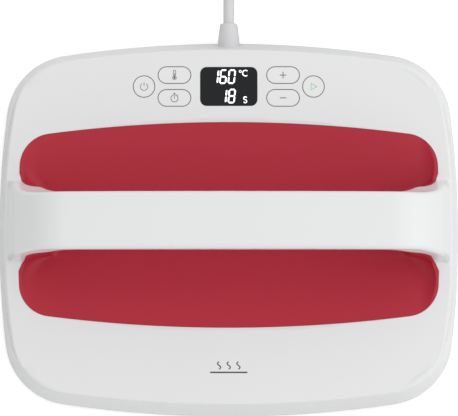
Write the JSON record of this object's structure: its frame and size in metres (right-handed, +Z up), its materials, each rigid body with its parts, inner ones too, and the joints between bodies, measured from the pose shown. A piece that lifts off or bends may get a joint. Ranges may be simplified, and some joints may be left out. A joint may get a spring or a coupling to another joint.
{
  "type": "heat press",
  "caption": "Hand-held flat heat press with a heated plate, a wide bridge handle over a hand well, a small display with push buttons, and a coiled power cord.",
  "frame": {"origin": "centre of the plate's pressing face, on the plane the press rests on", "axes": "+Z up out of the pressing face, +X to the user's right along the handle, +Y to the back where the cord leaves"},
  "size_m": [0.347, 0.4395, 0.1154],
  "materials": {
    "white_shell": "satin gloss moulding",
    "red_liner": "soft-touch satin",
    "button_white": "satin gloss",
    "window_black": "clear hard coat over black",
    "coated_plate": "non-stick ceramic coating",
    "steel": "zinc plated",
    "sheet_metal": "mill finish sheet",
    "nickel_pins": "nickel plated brass",
    "contact_brass": "bare",
    "ceramic_white": "unglazed ceramic",
    "felt": "ceramic fibre felt",
    "board_green": "solder resist",
    "component_black": "moulded epoxy",
    "component_blue": "moulded relay case",
    "capacitor_sleeve": "shrink sleeve",
    "terminal_green": "moulded",
    "lcd_glass": "polarised glass",
    "light_diffuser": "translucent",
    "switch_black": "moulded",
    "wire_silicone": "silicone insulation",
    "wire_mains": "PVC insulation",
    "wire_earth": "PVC insulation",
    "ribbon_grey": "flat cable",
    "cord_white": "soft PVC",
    "plug_white": "moulded PVC"
  },
  "bodies": {
    "press": {"heat_plate": "coated_plate", "heating_element": "steel", "heater_insulators": "ceramic_white", "heater_terminals": "contact_brass", "temperature_sensor": "component_black", "thermal_cutout": "component_black", "plate_spacers": "ceramic_white", "plate_screws": "steel", "base_shell": "white_shell", "top_shell": "white_shell", "shell_screws": "steel", "hand_well": "red_liner", "well_screws": "steel", "handle_grip": "red_liner", "display_window": "window_black", "lcd_frame": "switch_black", "lcd_panel": "lcd_glass", "switch_bodies": "switch_black", "control_board": "board_green", "control_board_screws": "steel", "buzzer": "component_black", "microcontroller": "component_black", "indicator_leds": "light_diffuser", "power_board": "board_green", "board_spacers": "ceramic_white", "power_board_screws": "steel", "relay": "component_blue", "transformer": "component_black", "capacitors": "capacitor_sleeve", "heat_sink": "sheet_metal", "terminal_block": "terminal_green", "heat_shield": "sheet_metal", "shield_screws": "steel", "insulation_pad": "felt", "heater_leads": "wire_silicone", "mains_leads": "wire_mains", "earth_lead": "wire_earth", "sensor_leads": "wire_silicone", "ribbon_cable": "ribbon_grey", "power_cord": "cord_white", "cord_boot": "cord_white", "cord_clamp": "component_black", "clamp_screws": "steel", "plug_body": "plug_white", "plug_pins": "nickel_pins", "plug_earth_clips": "nickel_pins"},
    "power_key": {"power_button": "button_white", "power_plunger": "switch_black"},
    "start_key": {"start_button": "button_white", "start_plunger": "switch_black"},
    "temperature_key": {"temperature_button": "button_white", "temperature_plunger": "switch_black"},
    "timer_key": {"timer_button": "button_white", "timer_plunger": "switch_black"},
    "plus_key": {"plus_button": "button_white", "plus_plunger": "switch_black"},
    "minus_key": {"minus_button": "button_white", "minus_plunger": "switch_black"}
  },
  "joints": [
    {"name": "power_press", "type": "slide", "parent": "press", "child": "power_key", "axis": [0, 0, -1], "range_m": [0, 0.0006], "stiffness_N_per_m": 2500, "springref_m": -0.0002},
    {"name": "start_press", "type": "slide", "parent": "press", "child": "start_key", "axis": [0, 0, -1], "range_m": [0, 0.0006], "stiffness_N_per_m": 2500, "springref_m": -0.0002},
    {"name": "temperature_press", "type": "slide", "parent": "press", "child": "temperature_key", "axis": [0, 0, -1], "range_m": [0, 0.0006], "stiffness_N_per_m": 2500, "springref_m": -0.0002},
    {"name": "timer_press", "type": "slide", "parent": "press", "child": "timer_key", "axis": [0, 0, -1], "range_m": [0, 0.0006], "stiffness_N_per_m": 2500, "springref_m": -0.0002},
    {"name": "plus_press", "type": "slide", "parent": "press", "child": "plus_key", "axis": [0, 0, -1], "range_m": [0, 0.0006], "stiffness_N_per_m": 2500, "springref_m": -0.0002},
    {"name": "minus_press", "type": "slide", "parent": "press", "child": "minus_key", "axis": [0, 0, -1], "range_m": [0, 0.0006], "stiffness_N_per_m": 2500, "springref_m": -0.0002}
  ]
}
